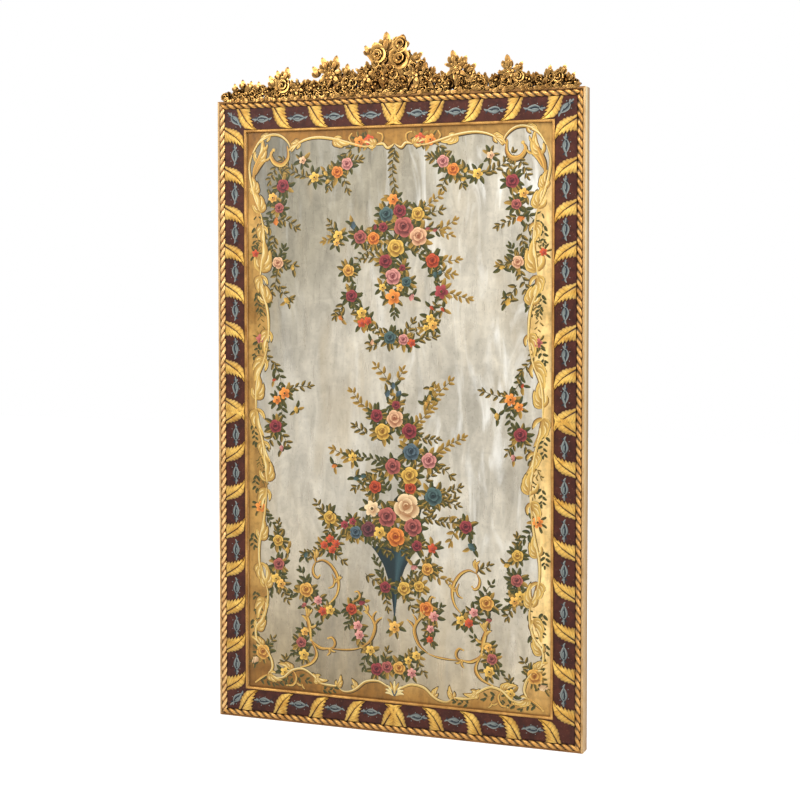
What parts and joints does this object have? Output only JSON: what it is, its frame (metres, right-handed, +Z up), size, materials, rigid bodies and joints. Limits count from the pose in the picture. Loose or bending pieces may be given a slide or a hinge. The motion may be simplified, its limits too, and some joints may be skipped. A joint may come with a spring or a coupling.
{
  "type": "standing mirror",
  "caption": "Tall framed mirror with a gilt rope and leaf moulding, a painted plate and a carved flower crest, standing on its frame and two hinged rear feet.",
  "frame": {"origin": "centre of the footprint, on the floor", "axes": "+Z up, +X to the viewer's right, the mirror faces -Y"},
  "size_m": [1.22, 0.4023, 2.1957],
  "materials": {
    "painted_frame": "dark red-brown paint on the frieze, gilding on the lip and sides",
    "gilt_moulding": "gilded and rubbed",
    "gilt_leaves": "matt gilding with brown shading",
    "gilt_carving": "gilded, dark in the hollows",
    "antiqued_plate": "antiqued silvering with painted flowers and a gilt border",
    "felt": "pressed felt",
    "pine": "bare, aged",
    "beech": "oiled",
    "steel": "zinc plated",
    "brass": "satin"
  },
  "bodies": {
    "frame": {"stile_left": "painted_frame", "stile_right": "painted_frame", "rail_top": "painted_frame", "rail_bottom": "painted_frame", "mitre_keys": "beech", "rope_left": "gilt_moulding", "rope_right": "gilt_moulding", "rope_top": "gilt_moulding", "rope_bottom": "gilt_moulding", "fillet_left": "gilt_moulding", "fillet_right": "gilt_moulding", "fillet_top": "gilt_moulding", "fillet_bottom": "gilt_moulding", "leaves_left": "gilt_leaves", "leaves_right": "gilt_leaves", "leaves_top": "gilt_leaves", "leaves_bottom": "gilt_leaves", "mirror_plate": "antiqued_plate", "setting_blocks": "pine", "plate_underlay": "felt", "backing_board": "pine", "board_screws": "brass", "corner_braces": "steel", "corner_screws": "steel", "crest_strip": "gilt_carving", "crest_screws": "steel", "crest_props": "pine", "crest_centre": "gilt_carving", "crest_fan_left": "gilt_carving", "crest_fan_right": "gilt_carving", "crest_rose_left": "gilt_carving", "crest_fan_outer": "gilt_carving", "crest_end_left": "gilt_carving", "crest_end_right": "gilt_carving", "back_rail": "pine", "back_post_left": "pine", "back_post_right": "pine", "lap_screws": "steel", "base_pads": "felt", "hinge_plates_left": "brass", "hinge_plates_right": "brass", "hinge_pins": "brass", "hinge_plate_screws": "brass", "tie_straps": "brass", "tie_screws": "brass"},
    "foot_left": {"foot_upright_left": "beech", "foot_runner_left": "beech", "foot_brace_left": "beech", "hinge_flaps_left": "brass", "flap_screws_left": "brass", "foot_pad_left": "felt"},
    "foot_right": {"foot_upright_right": "beech", "foot_runner_right": "beech", "foot_brace_right": "beech", "hinge_flaps_right": "brass", "flap_screws_right": "brass", "foot_pad_right": "felt"},
    "ring_left": {"tie_ring_left": "brass"},
    "ring_right": {"tie_ring_right": "brass"}
  },
  "joints": [
    {"name": "foot_left_swing", "type": "hinge", "parent": "frame", "child": "foot_left", "pos_m": [-0.36, -0.13115, 0.4], "axis": [0, 0, 1], "range_deg": [-90, 0]},
    {"name": "foot_right_swing", "type": "hinge", "parent": "frame", "child": "foot_right", "pos_m": [0.36, -0.13115, 0.4], "axis": [0, 0, 1], "range_deg": [0, 90]},
    {"name": "ring_left_swing", "type": "hinge", "parent": "frame", "child": "ring_left", "pos_m": [-0.571, -0.1319, 1.7], "axis": [1, 0, 0], "range_deg": [0, 170]},
    {"name": "ring_right_swing", "type": "hinge", "parent": "frame", "child": "ring_right", "pos_m": [0.571, -0.1319, 1.7], "axis": [1, 0, 0], "range_deg": [0, 170]}
  ]
}
